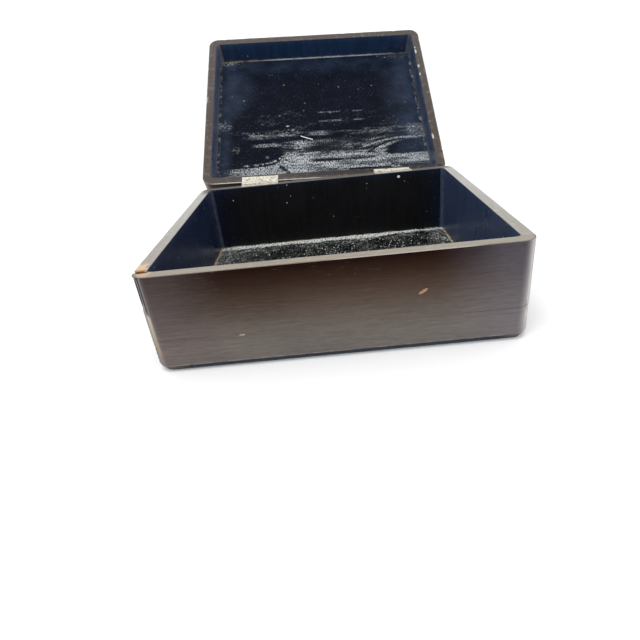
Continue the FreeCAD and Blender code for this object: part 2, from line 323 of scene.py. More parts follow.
def base_wear(points, tray):
    """How deep the base is worn at its points, and how bare: over 0 wood shows, under 0 dirt and painted
    shade.
    """
    x, y, z = points.T
    joint = -tray.inner_y
    rim = tray.rim
    # open joint at the front left corner, with a hole at its inner end painted dark as shade
    gouge = band(x, -125.2, 4.8, 0.8) * band(y, joint + 1.6, 2.3, 0.6) * step(z, rim - 3.0, rim - 2.0)
    hole = spot(points, (-120.6, joint + 1.6, rim - 0.6), (1.6, 2.4, 2.2), 0.6)
    depth = 1.7 * gouge + 0.5 * hole
    # lacquer gone from the rim beside it
    ragged = layered_noise(points, 3.0, 21)
    left_end = step(x + 1.3 * ragged, -122.5, -124.6) * step(y + 2.5 * ragged, -84.0, -90.0)
    left_end = np.maximum(left_end, step(y + 1.5 * ragged, -92.0, -95.0) * step(x, -120.6, -121.6))
    left_end *= step(y, joint - 0.4, joint)
    bare = 0.8 * left_end * step(z, rim - 2.0, rim - 1.0)
    from_middle = np.hypot(np.minimum(x + tray.half_x - tray.corner, 0), y + tray.half_y - tray.corner)
    on_flat = step(from_middle, tray.corner - 0.9, tray.corner - 1.9) * step(z, rim - 0.7, rim - 0.4)
    front_end = step(x + 2.0 * ragged - 0.5 * (y - joint), -113.5, -117.0)
    front_end *= step(y, joint + 0.3, joint - 0.3)
    bare = np.maximum(bare, 0.8 * front_end * on_flat * step(x - 0.6 * (y - joint), -123.5, -122.0))
    bare = np.maximum(bare, 1.4 * gouge) - 2.2 * hole
    # worn and splintered front left corner
    around = corner_angle(-x, y, tray)
    ragged = layered_noise(points, (4, 4, 9), 22)
    on_corner = step(x, -117, -118) * step(y, -97, -98)
    depth += 1.2 * band(around, 60, 12, 16) * on_corner * step(z, 46, 54) * step(z, rim - 1.5, rim - 3.0)
    streak = band(around, 31 + 2 * ragged, 6, 4) * step(z + 4 * ragged, 51, 44) * step(z, 10, 16)
    bare = np.maximum(bare, (0.8 + 0.4 * ragged) * streak * on_corner)
    bare -= 1.5 * band(around, 46, 4, 5) * on_corner * step(z, 10, 15) * step(z, 48, 44)
    bare -= 0.6 * band(around, 36, 6, 6) * on_corner * step(z, 14, 11) * step(z, 6, 8)
    ragged = noise(points, (50, 50, 1.6), 23)
    broken = band(z, 15.5, 9.5, 1.5) * step(ragged, -0.2, 0.5) * band(around, 60, 11, 7) * on_corner
    depth += 1.3 * broken
    bare = np.maximum(bare, 0.45 * broken)
    # chip in the front, a pale fleck on the seam
    right, up = x - 55.8, z - 45.2
    slanting = np.stack([0.86 * right + 0.51 * up, y + tray.half_y, 0.86 * up - 0.51 * right], axis=1)
    chip = spot(slanting, (0, 0, 0), (3.8, 3.0, 1.1), 0.3)
    depth += 0.8 * chip
    bare = np.maximum(bare, 1.3 * chip)
    bare = np.maximum(bare, 0.7 * spot(points, (-66.0, -tray.half_y, 25.4), (2.4, 2.0, 0.9), 0.5))
    # flake out of the back wall's inner face
    flake = spot(points, (74.3, -joint, 68.9), (1.9, 1.0, 1.6), 0.35)
    flake *= step(z + 0.8 * (x - 74.3), 67.0, 67.6)
    bare = np.maximum(bare, 0.9 * flake)
    # slot and nick in the front right corner, by the seam, painted dark inside as shade
    around = corner_angle(x, y, tray)
    slot = band(around, 37, 2.4, 1.8) * band(z, 26.2, 3.0, 0.8) * step(x, 117, 118)
    nick = band(around, 36, 2.2, 2.0) * band(z, 15.5, 1.6, 0.8) * step(x, 117, 118)
    depth += 1.4 * slot + 0.5 * nick
    bare -= 2.0 * slot + 0.6 * nick
    # arris of the bevel rubbed through near both ends
    arris = band(z, tray.bevel_height, 0.3, 0.4)
    ragged = layered_noise(points, 2.5, 24)
    ends = np.maximum(band(x, -108, 10, 4), 0.7 * band(x, 112, 5, 4))
    bare = np.maximum(bare, 0.8 * arris * ends * step(ragged, -0.35, 0.3) * step(y, -109, -109.5))
    return depth, bare


def lid_wear(points, tray):
    """The same for the closed lid."""
    x, y, z = points.T
    rim_side = step(z, tray.rim + 2.0, tray.rim + 0.4)
    out_x = tray.half_x - np.abs(x - tray.shift)
    out = np.minimum(out_x, tray.half_y - np.abs(y))
    chips = layered_noise(points, 4.0, 31)
    bare = 0.9 * step(out, 1.4, 0.3) * step(chips, 0.42, 0.62)
    on_right = step(x - tray.shift, tray.inner_x, tray.inner_x + 0.5)
    flaked = step(layered_noise(points, (3, 8, 3), 32), 0.12, 0.4) * step(out_x, 5.5, 7.5)
    bare = np.maximum(bare, 0.75 * on_right * flaked * step(np.abs(y - 15), 75, 50))
    for chip_y, length in ((-79, 2.0), (-71, 4.5), (-46, 3.0), (62, 5.0)):
        chip = spot(points, (tray.inner_x + tray.shift + 1.2, chip_y, tray.rim), (1.5, length, 2.0), 0.4)
        bare = np.maximum(bare, 0.9 * chip * step(chips, -0.7, 0.1))
    rubbed = spot(points, (-130.5, -14, tray.rim), (3.0, 13, 2.0), 0.6) * step(chips, -0.4, 0.3)
    bare = np.maximum(bare, 0.5 * rubbed)
    bare *= rim_side
    return 0.5 * np.clip(bare, 0, 1), bare


# ---- figure of the wood and dust ----
PANEL_FLECKS = (                 # place on the closed lid's panel and brightness of the bigger flecks
    (-43, -55, 0.5), (-92, -32, 0.6), (-105, -86, 0.3), (25, -47, 0.4), (49, -41, 0.4), (66, -46, 0.4),
    (37, -29, 0.3), (79, -97, 0.5), (88, -94, 0.6), (-18, -23, 0.35), (-20, -11, 0.35), (-40, 12, 2.0),
    (12, -5, 0.3), (33, -9, 0.3), (-62, -6, 0.4), (-49, -5, 0.35), (104, -15, 0.35), (-60, -73, 0.2))


def panel_figure(points):
    """Milky haze and blue sheen (0 to 1) and raised grain (-1 to 1) inside the lid's panel.

    The haze is painted reflection of the overhead light on the grain, with dust flecks; the sheen
    is painted reflection too.
    """
    flat = points * (1, 1, 0)
    x, y = points[:, 0], points[:, 1]

    def oval(middle_x, middle_y, half_x, half_y, soft):
        return spot(flat, (middle_x, middle_y, 0), (half_x, half_y, 1), soft)

    warp = layered_noise(flat, (50, 14, 1), 41)
    bow = np.where(y < 57, -9.5 * np.maximum(step(x, -15, -75), step(x, 50, 92)) * step(y, 12, 44),
                   10.0 * step(x, -42, -72) * step(y, 95, 66))
    stream = np.stack([x, y - bow, 0 * x], axis=1)
    grain = layered_noise(stream, (22, 1.9, 1), 42)
    flow = layered_noise(stream, (36, 4.5, 1), 47)
    speckle = noise(flat, (2.2, 1.5, 1), 43)
    patches = layered_noise(flat, (30, 9, 1), 44)
    dashes = step(noise(flat, (7, 30, 1), 46), -0.2, 0.4)
    wavy = y + 1.5 * warp
    # haze, a painted reflection of the overhead light, that thickens towards the hinges, between the two
    # knots
    right_of_lobe = step(x, -56, -42)
    haze = 0.22 * step(wavy, 31, 39) * right_of_lobe
    haze += 0.20 * step(wavy, 50, 56) * right_of_lobe
    haze += 0.26 * step(wavy, 65, 69) * right_of_lobe
    haze *= 0.35 + 1.05 * step(grain + 0.8 * flow, -0.55, 0.6)
    haze += 0.30 * band(wavy, 25.5, 2, 3) * band(x, -40, 38, 10) * step(patches + grain, -0.5, 0.5)
    haze += 0.17 * band(wavy, 26, 3, 3) * band(x, 55, 55, 12) * step(patches + grain, -0.6, 0.4)
    haze += 0.13 * band(wavy, 24, 4, 4) * band(x, -62, 26, 10) * (1 + 0.8 * speckle)
    haze += 0.14 * band(wavy, 76, 4, 3) * band(x, -42, 26, 8)
    haze += 0.18 * band(y, 29, 9, 4) * step(x, 98, 108)
    haze += 0.30 * band(y + warp, 40, 1.6, 2) * band(x, -66, 10, 10)
    haze += 0.32 * oval(-25, 41, 14, 9, 0.8) * (0.7 + 0.7 * speckle)
    swirl = oval(-33, 64, 23, 19, 0.7)
    haze += 0.30 * swirl * (0.8 + 0.6 * np.sin(0.9 * np.hypot(x + 27, (y - 56) * 1.7) + 2 * warp))
    haze *= 1 - 0.7 * oval(-27, 56, 5, 3, 0.6)
    # left knot: clear lacquer with a bright broken edge below
    foot = 71 - 11 * np.exp(np.minimum(x + 48, 0) / 9)
    under = step(y - foot, -0.5, 1.5) * step(x, -44, -52) * (0.56 - 0.16 * step(x, -80, -90))
    haze = np.where(x < -44, np.maximum(haze, under * (1 + 0.5 * grain)), haze)
    haze *= 1 - step(x, -104, -113) * step(y, 60, 70) * 0.8
    lobe = step(foot - y, -0.5, 1.0) * step(-47 - 0.05 * np.maximum(57 - y, 0) ** 2 - x, -2.5, 2.5)
    haze *= 1 - 0.95 * lobe * step(y, 41, 45)
    haze += 0.55 * band(y, foot - 3.2, 0.7, 0.9) * band(x, -69, 21, 5) * step(speckle, -0.2, 0.4)
    haze += 0.40 * oval(-65, 57, 4, 2.6, 0.8)
    haze += 0.25 * oval(-101, 44, 9, 9, 0.9) * (0.6 + 0.8 * speckle)
    # right knot: a pointed oval, open to the right, in a bright hook
    above = np.maximum(57 - y, 0) ** 2
    below = np.maximum(y - 57, 0) ** 2
    hook = step(x - 59 - 0.15 * above - 0.5 * below, -2.0, 1.0) * step(x - 70 - 0.11 * above, 6, -3)
    pointed = step(x - 70 - 0.11 * above, -2, 8) * step(y, 63.5, 61) * step(y + patches, 40, 42.5)
    haze += 0.22 * hook * step(y, 42, 46) * step(y, 66, 63)
    haze *= 1 - 0.94 * pointed
    haze += 0.32 * band(y, 38.5 + 0.0040 * (x - 100) ** 2, 0.8, 1.2) * band(x, 75, 26, 6)
    # dark lines and patches
    darker = np.max([
        0.8 * band(y + 0.6 * grain, 41 + 0.0091 * (x - 95) ** 2, 0.8, 1.2) * band(x, 74, 20, 4),
        0.7 * band(y + 0.6 * grain, 49.3 - 0.002 * (x + 5) ** 2, 0.7, 1.2) * band(x, -32, 26, 6),
        0.8 * band(y + 1.5 * warp + 0.4 * grain, 65, 0.9, 1.4) * band(x, 22, 30, 16),
        0.65 * band(y, 50, 3.5, 2) * band(x, 20, 22, 8) * step(grain, -0.3, 0.4),
        0.7 * oval(-7, 72, 11, 2.6, 0.7) * step(speckle, -0.5, 0.3),
        0.9 * step(y + warp, 77.5, 79.5) * band(x, 52, 23, 4),
        0.8 * step(y + warp, 80, 82) * band(x, 12, 17, 5),
        0.85 * step(y + warp, 76.5, 79) * band(x, 103, 16, 3),
        0.8 * band(y - 76.5 - 0.9 * (x + 45), 0, 1.8, 1.6) * band(x, -45, 6, 2),
        0.8 * oval(-48, 32.5, 19, 5, 0.6),
    ], axis=0)
    haze *= 1 - darker
    # thin streaks and flecks higher up
    haze += 0.26 * dashes * band(y + 0.5 * warp, -6.5, 0.6, 1.1) * band(x, -30, 76, 8)
    haze += 0.26 * dashes * band(y + 0.5 * warp, 7.5, 0.7, 1.1) * band(x, -30, 86, 8)
    haze += 0.34 * oval(-116, 6, 15, 14, 0.9) * (0.7 + 0.7 * speckle)
    for fleck_x, fleck_y, amount in PANEL_FLECKS:
        haze += amount * oval(fleck_x, fleck_y, 1.9, 1.5, 0.9)
    haze += 0.10 * step(patches + 0.5 * speckle, 0.2, 0.9) * step(y, -40, 10)
    haze *= 1 + 0.30 * speckle
    # painted blue sheen along the sides and the front edge
    start = 68 + 34 * step(y, -40, 10) * step(x, 40, -40)
    sides = 0.95 * step((np.abs(x) - start) / (116 - start), 0, 1)
    sheen = np.maximum(sides, 0.7 * step(y, -62, -96)) * (1 + 0.35 * patches)
    haze += 0.5 * oval(-113, -98, 16, 5, 0.8) * (0.6 + speckle)
    haze += 0.14 * step(y, -84, -97) * step(np.abs(x), 70, 105) * (1 + speckle)
    return np.clip(haze, 0, 1), np.clip(sheen, 0, 1), np.clip(grain, -1, 1)


def floor_dust(points):
    """Dust (0 to 1) on the bottom board, thickest along the back."""
    flat = points * (1, 1, 0)
    x, y = points[:, 0], points[:, 1]
    patches = layered_noise(flat, (16, 8, 1), 51)
    specks = noise(flat, (1.6, 5.0, 1), 52)
    edge = 92.5 + 3.5 * step(x, 64, 78)
    back = step(y + 2.5 * patches - edge, -2.0, 3.0) * (0.92 + 0.45 * band(x, 5, 68, 20))
    back *= 1 - 0.35 * step(y, 97.5, 99.0)
    dust = back + 0.26 * step(y, 74, 90) * (0.55 + 0.8 * patches) * step(x, 104, 84)
    dust += 0.04 * step(x, -58, -84) + 0.16 * step(np.abs(x), 98, 108)
    dust += 0.05 + 0.08 * patches
    dust *= 1 + 0.6 * specks
    return np.clip(dust, 0, 1)


# ---- materials ----
def srgb(red, green, blue, light=1.0, glare=0.0):
    """Paint that shows as this screen colour (0 to 255) under that much light and shine."""
    values = []
    for value in (red, green, blue):
        share = value / 255
        seen = share / 12.92 if share <= 0.04045 else ((share + 0.055) / 1.055) ** 2.4
        values.append(max(0.0, seen - glare) / light)
    return (*values, 1.0)


class Finish:
    """A material and short ways to add nodes to it.

    Noise and specks are laid out in its place, millimetres in x, y and z.  Most helpers return an
    output socket; lay and wear paint over its colour.
    """

    def __init__(self, name, roughness, specular=0.5, metallic=0.0):
        self.material = bpy.data.materials.new(name)
        self.material.use_nodes = True
        self.tree = self.material.node_tree
        self.shader = self.tree.nodes["Principled BSDF"]
        self.shader.inputs["Roughness"].default_value = roughness
        self.shader.inputs["Specular IOR Level"].default_value = specular
        self.shader.inputs["Metallic"].default_value = metallic

    def node(self, kind, inputs=(), **settings):
        made = self.tree.nodes.new(kind)
        for name, value in settings.items():
            setattr(made, name, value)
        for key, value in dict(inputs).items():
            if isinstance(value, bpy.types.NodeSocket):
                self.tree.links.new(value, made.inputs[key])
            else:
                made.inputs[key].default_value = value
        return made

    def attribute(self, name):
        return self.node("ShaderNodeAttribute", attribute_name=name).outputs["Vector"]

    def split(self, vector):
        return tuple(self.node("ShaderNodeSeparateXYZ", {0: vector}).outputs)

    def on_board(self):
        """Takes the board's tray coordinates as the place, and returns x, y and t."""
        self.place = self.attribute("place")
        return self.split(self.place)

    def math(self, operation, first, second=0.0):
        made = self.node("ShaderNodeMath", {0: first, 1: second}, operation=operation)
        return made.outputs[0]

    def ramp(self, value, low, high, to_low=0.0, to_high=1.0):
        made = self.node("ShaderNodeMapRange", {0: value, 1: low, 2: high, 3: to_low, 4: to_high},
                         interpolation_type="SMOOTHSTEP")
        return made.outputs[0]

    def band(self, value, middle, half, soft):
        far = self.size_of(self.minus(value, middle))
        return self.ramp(far, half, half + soft, 1.0, 0.0)

    def times(self, *values):
        return reduce(partial(self.math, "MULTIPLY"), values)

    def plus(self, *values):
        return reduce(partial(self.math, "ADD"), values)

    def minus(self, first, second):
        return self.math("SUBTRACT", first, second)

    def size_of(self, value):
        return self.math("ABSOLUTE", value)

    def towards_corner(self, x, y, tray):
        """0 on the tray's middle lines, rising to 1 at its upright corners."""
        return self.times(self.size_of(self.math("DIVIDE", x, tray.half_x)),
                          self.size_of(self.math("DIVIDE", y, tray.half_y)))

    def stretch(self, vector, scale):
        """Multiplies a vector by one number, or by one each for x, y and z."""
        factors = np.broadcast_to(scale, 3).tolist()
        made = self.node("ShaderNodeVectorMath", {0: vector, 1: factors}, operation="MULTIPLY")
        return made.outputs[0]

    def noise(self, scale, detail=3.0, roughness=0.55):
        """Noise from 0 to 1."""
        where = self.stretch(self.place, scale)
        made = self.node("ShaderNodeTexNoise", {"Vector": where, "Scale": 1.0, "Detail": detail,
                                                "Roughness": roughness})
        return made.outputs["Fac"]

    def wander(self, scale, detail=3.0):
        """Noise from -0.5 to 0.5."""
        return self.minus(self.noise(scale, detail), 0.5)

    def specks(self, scale, size, amount):
        """Small scattered dots: 1 on a dot and 0 elsewhere."""
        where = self.stretch(self.place, scale)
        cells = self.node("ShaderNodeTexVoronoi", {"Vector": where, "Scale": 1.0})
        dots = self.ramp(cells.outputs["Distance"], size, size * 0.55)
        keep = self.ramp(self.noise(np.multiply(scale, 0.37), 2.0), 1 - amount, 1.02 - amount)
        return self.times(dots, keep)

    def mix(self, factor, first, second):
        made = self.node("ShaderNodeMix", {0: factor, 6: first, 7: second}, data_type="RGBA")
        return made.outputs[2]

    def gradient(self, value, stops):
        made = self.node("ShaderNodeValToRGB", {0: value})
        elements = made.color_ramp.elements
        while len(elements) < len(stops):
            elements.new(0.5)
        for element, (position, color) in zip(elements, stops):
            element.position = position
            element.color = color
        return made.outputs["Color"]

    def brightness(self, color, factor):
        """Scales a colour by a number socket."""
        made = self.node("ShaderNodeVectorMath", {0: color, 3: factor}, operation="SCALE")
        return made.outputs[0]

    def lay(self, paint, *shares):
        """Paints over the finish, as thick as the product of the shares."""
        self.color = self.mix(self.times(*shares), self.color, paint)

    def wear(self, bare, pale, deep):
        """Shows bare wood where bare is over 0, deeper wood over 1, and dirt and painted shade under 0.
        """
        self.lay(pale, self.ramp(bare, 0.25, 0.65))
        self.lay(deep, self.ramp(bare, 0.95, 1.2))
        self.lay(PIT, self.ramp(bare, -0.3, -1.0))

    def finish(self, bump, strength, distance=0.0002, roughness=None):
        """Joins the colour, bump and roughness to the shader and returns the material."""
        made = self.node("ShaderNodeBump", {"Height": bump, "Strength": strength, "Distance": distance})
        self.tree.links.new(self.color, self.shader.inputs["Base Color"])
        self.tree.links.new(made.outputs["Normal"], self.shader.inputs["Normal"])
        if roughness is not None:
            self.tree.links.new(roughness, self.shader.inputs["Roughness"])
        return self.material


# paints under the light that falls on the walls, their bevel, the base's rim and the lid's panel
on_front = partial(srgb, light=1.15)
on_bevel = partial(srgb, light=1.5)
on_rim = partial(srgb, light=1.42)
on_panel = partial(srgb, light=1.28)
# colour of dirt, also painted as shade in the hole, the slot and the nick
PIT = srgb(30, 22, 18)


def shades(paint, *stops):
    """Gradient stops from the place and colour of each."""
    return [(place, paint(*color)) for place, *color in stops]


def outside_finish(name, tray, middle, left_end, right_end):
    """Dark lacquer, graded towards the closed end, with a painted highlight round the corners."""
    f = Finish(name, roughness=0.4, specular=0.04)
    x, y, t = f.on_board()
    bare = f.split(f.attribute("marks"))[0]
    share = f.math("DIVIDE", t, tray.depth)
    along = f.towards_corner(x, y, tray)
    cloud = f.wander((0.02, 0.02, 0.035))
    ends = f.ramp(f.plus(along, f.times(cloud, 0.2)), 0.48, 0.92)
    end_color = f.mix(f.ramp(x, -60, 60), f.gradient(share, left_end), f.gradient(share, right_end))
    f.color = f.mix(ends, f.gradient(share, middle), end_color)
    grain = f.noise((0.03, 0.03, 0.6), 5, 0.6)
    scuffs = f.noise((0.05, 0.05, 1.6), 3, 0.6)
    hairs = f.noise((0.12, 0.12, 1.3), 4, 0.7)
    tone = f.plus(f.ramp(grain, 0.25, 0.75, 0.9, 1.08), f.ramp(scuffs, 0.62, 0.74, 0, 0.14),
                  f.ramp(hairs, 0.3, 0.7, -0.11, 0.11), f.times(cloud, 0.3),
                  f.times(f.band(x, -72, 22, 28), f.band(share, 0.32, 0.13, 0.16), -0.13))
    f.color = f.brightness(f.color, tone)
    scratch = f.ramp(f.noise((0.1, 0.1, 2.4), 2), 0.62, 0.74)
    scratch = f.times(scratch, f.ramp(f.noise((0.03, 0.03, 0.06)), 0.46, 0.62))
    f.lay(on_front(138, 128, 120), scratch, 0.3)
    flecks = f.specks((0.096, 0.096, 0.24), 0.06, 0.44)
    f.lay(on_front(165, 152, 140), flecks, 0.3)
    # painted highlight: the corners' rounding shows a reflection of the bright surroundings, more on the
    # right
    across = f.math("MAXIMUM", f.minus(f.size_of(x), tray.half_x - tray.corner), 0)
    back = f.math("MAXIMUM", f.minus(f.size_of(y), tray.half_y - tray.corner), 0)
    rubbed = f.times(f.math("MINIMUM", across, back), math.sqrt(2) / tray.corner)
    rubbed = f.math("POWER", rubbed, 2.2)
    rubbed = f.times(rubbed, f.ramp(x, -60, 60, 0.4, 1), f.ramp(share, 0.75, 0.92, 1, 0.7))
    streaky = f.noise((0.5, 0.5, 0.03))
    f.lay(on_front(207, 204, 199), rubbed, f.ramp(streaky, 0.35, 0.65, 0.78, 1))
    if tray.seam is not None:
        turned = f.math("ARCTAN2", across, back)
        at_left = f.times(f.ramp(x, -100, -110), f.ramp(y, 0, -50))
        # a darker line round the left corner near the rim
        dark_line = f.times(f.band(turned, 0.57, 0.08, 0.06), f.ramp(t, 30, 22), at_left)
        f.lay(on_front(48, 43, 42), dark_line, 0.9)
        low = f.times(f.ramp(turned, 0.5, 0.9), f.band(t, 56.5, 3.5, 3), at_left)
        f.lay(on_front(98, 88, 82), low, 0.6)
        # painted highlight along the left corner's rounding
        corner_highlight = f.times(f.band(turned, 0.41, 0.04, 0.05), at_left, f.ramp(share, 0.5, 0.7, 0.5, 0.2))
        f.lay(on_front(138, 128, 126), corner_highlight)
        seam = f.band(t, tray.seam, 0.3, 0.35)
        open_part = f.ramp(f.plus(along, f.times(f.noise((0.05, 0.05, 0)), 0.2)), 0.68, 0.86)
        f.lay(srgb(50, 44, 46), seam, open_part, 0.2)
        # painted reflection on the bevel: dark navy where it faces the shade under the box, brown where
        # it turns round the corners
        arris_depth = tray.depth - tray.bevel_height
        fade = f.math("DIVIDE", f.minus(t, arris_depth), tray.bevel_height)
        bevel_reflection = f.gradient(fade, shades(on_bevel, (0.1, 52, 58, 68), (0.6, 60, 67, 78),
                                       (1, 92, 98, 108)))
        bevel_reflection = f.mix(f.ramp(along, 0.8, 0.93), bevel_reflection, on_bevel(112, 101, 93))
        f.lay(bevel_reflection, f.ramp(t, arris_depth + 0.1, arris_depth + 0.5))
        broken = f.ramp(f.noise((0.09, 0.09, 0), 4), 0.42, 0.6)
        f.lay(srgb(168, 150, 140), f.band(t, arris_depth - 0.1, 0.15, 0.35), broken, 0.5)
    wood = f.gradient(share, shades(on_front, (0.4, 184, 172, 153), (0.6, 170, 160, 138),
                                    (0.8, 143, 129, 112)))
    wood = f.brightness(wood, f.ramp(streaky, 0.3, 0.7, 0.85, 1.15))
    f.wear(bare, wood, on_front(196, 134, 86))
    return f.finish(bump=f.plus(grain, f.times(scuffs, 0.5)), strength=0.08,
                    roughness=f.ramp(grain, 0.3, 0.7, 0.36, 0.48))


def rim_finish(name, runs_along_x, paint, lit_span=None, shaded=None, **colors):
    """The rim: rubbed lacquer with streaks along the board, and arrises that catch dirt and wear.

    The colours are the board's at the front and rear, partly painted reflection, dark and light patches,
    chips, the outer arris and its painted highlight where light falls on it, the inner arris, pale
    bare wood, and a stretch of painted shade.
    """
    colors = {part: paint(*color) for part, color in colors.items()}
    f = Finish(name, roughness=0.45, specular=0.2)
    x, y, _ = f.on_board()
    bare = f.split(f.attribute("marks"))[0]
    out, inn, _ = f.split(f.attribute("near"))
    along = (0.035, 0.7, 0.3) if runs_along_x else (0.7, 0.035, 0.3)
    streak = f.noise(along, 4, 0.6)
    mottle = f.noise(0.16, 4)
    body = f.mix(f.ramp(y, -100, 60), colors["front"], colors["rear"])
    f.color = f.brightness(body, f.ramp(streak, 0.3, 0.72, 1.05, 0.84))
    f.lay(colors["light"], f.ramp(mottle, 0.5, 0.8))
    f.lay(colors["dark"], f.specks(0.5, 0.22, 0.42), 0.6)
    if shaded:
        start_x, end_x, start_y, end_y = shaded
        f.lay(colors["shade"], f.ramp(x, start_x, end_x), f.ramp(y, start_y, end_y),
              f.ramp(mottle, 0.68, 0.5, 0.55, 1), f.ramp(out, 2.2, 4))
    wiggle = f.times(f.wander(0.35), 1.6)
    arris = colors["arris"]
    if lit_span:
        start, end = lit_span
        lit = f.times(f.ramp(x, start - 12, start), f.ramp(x, end + 12, end))
        arris = f.mix(lit, arris, colors["lit_arris"])
    f.lay(arris, f.ramp(f.plus(out, wiggle), 1.6, 0.6), 0.75)
    inner = f.ramp(f.plus(inn, f.times(wiggle, 0.6)), 0.9, 0.3)
    f.lay(colors["inner"], inner, 0.5)
    f.lay(colors["chips"], f.specks(0.33, 0.2, 0.5), f.ramp(mottle, 0.4, 0.6, 0.2, 0.8))
    f.wear(bare, colors["pale"], on_rim(150, 90, 48))
    return f.finish(bump=f.plus(streak, mottle), strength=0.15,
                    roughness=f.ramp(mottle, 0.3, 0.7, 0.4, 0.55))


def inside_finish(name, tray, body, lit, corner_line, specular, haze):
    """Blue-black lacquer inside, painted light towards its ends and rim, dust specks, scuffed corner
    lines.
    """
    f = Finish(name, roughness=0.3, specular=specular)
    x, y, t = f.on_board()
    bare = f.split(f.attribute("marks"))[0]
    # painted light: the lit colour towards the wall's ends and near the rim
    ends = f.ramp(f.towards_corner(x, y, tray), 0.6, 0.92)
    cloud = f.noise((0.03, 0.03, 0.03), 4)
    top = f.ramp(t, 9, 1)
    factor = f.plus(f.times(ends, 0.8), f.times(top, 0.45), f.times(f.minus(cloud, 0.5), 0.7))
    f.color = f.mix(f.ramp(factor, 0, 1), body, lit)
    streak = f.noise((0.25, 0.25, 0.02))
    f.color = f.brightness(f.color, f.ramp(streak, 0.3, 0.7, 0.85, 1.18))
    f.lay(srgb(205, 206, 204), f.specks(0.11, 0.075, 0.49), 0.8)
    near_front = f.ramp(f.times(f.size_of(x), f.ramp(y, 0, -100, 0.7, 1)), 60, 105)
    f.lay(srgb(180, 184, 186), f.specks(0.26, 0.12, 0.56), near_front, 0.8)
    f.lay(srgb(90, 96, 106), f.specks(0.5, 0.2, 0.44), 0.35)
    in_corner = f.times(f.ramp(f.size_of(x), tray.inner_x - 1.9, tray.inner_x - 0.7),
                        f.ramp(f.size_of(y), tray.inner_y - 1.9, tray.inner_y - 0.7))
    broken = f.ramp(f.noise((0.2, 0.2, 0.16), 4), 0.42, 0.64)
    f.lay(corner_line, in_corner, broken, 0.6)
    foot = f.band(t, tray.floor, 0.5, 0.7)
    rubbed = f.ramp(f.noise((0.12, 0.12, 0.12), 4), 0.42, 0.62)
    f.lay(srgb(150, 134, 104), foot, rubbed, 0.7)
    if haze:
        low = f.ramp(t, tray.floor - 10, tray.floor - 1, 0, 1.3)
        settled = f.plus(f.ramp(cloud, 0.45, 0.7), low)
        f.lay(srgb(130, 134, 142), settled, haze)
    f.wear(bare, srgb(215, 218, 215), srgb(150, 92, 58))
    return f.finish(bump=streak, strength=0.06, roughness=f.ramp(cloud, 0.3, 0.7, 0.24, 0.38))


def wall_insides(prefix, tray, corner_line, **looks):
    """Inside finishes of the walls, from paint mid-wall, painted light at the ends, gloss and haze."""
    return {kind: inside_finish(f"{prefix}{kind}_inside", tray, srgb(*body), srgb(*lit), corner_line,
                                specular, haze)
            for kind, (body, lit, specular, haze) in looks.items()}


def floor_finish(tray):
    """Top of the bottom board: black lacquer under dust and crumbs."""
    f = Finish("floor_lacquer", roughness=0.35, specular=0.2)
    x, y, _ = f.on_board()
    dust = f.split(f.attribute("marks"))[1]
    speckle = f.noise((0.75, 0.225, 0.75), 5, 0.75)
    fine = f.noise(2.2, 3, 0.7)
    amount = f.times(dust, f.ramp(speckle, 0.4, 0.6, 0, 2.1))
    amount = f.plus(amount, f.times(f.ramp(fine, 0.55, 0.72), dust, 0.5))
    f.color = f.mix(f.ramp(amount, 0, 1.2), srgb(16, 19, 21), srgb(232, 236, 230))
    crumbs = f.specks((0.45, 0.1485, 0.45), 0.25, 0.52)
    f.lay(srgb(222, 220, 208), crumbs, 0.9)
    grit = f.specks((0.95, 0.38, 0.95), 0.31, 0.54)
    f.lay(srgb(185, 187, 178), grit, 0.8)
    edge = f.plus(f.ramp(f.size_of(x), tray.inner_x - 2.6, tray.inner_x - 1),
                  f.ramp(f.times(y, -1), tray.inner_y - 2, tray.inner_y - 0.6))
    broken = f.ramp(f.noise(0.22, 4), 0.36, 0.55)
    f.lay(srgb(205, 186, 150), edge, broken, 0.9)
    return f.finish(bump=f.plus(speckle, fine), strength=0.35, distance=0.0004,
                    roughness=f.ramp(amount, 0, 0.8, 0.3, 0.75))


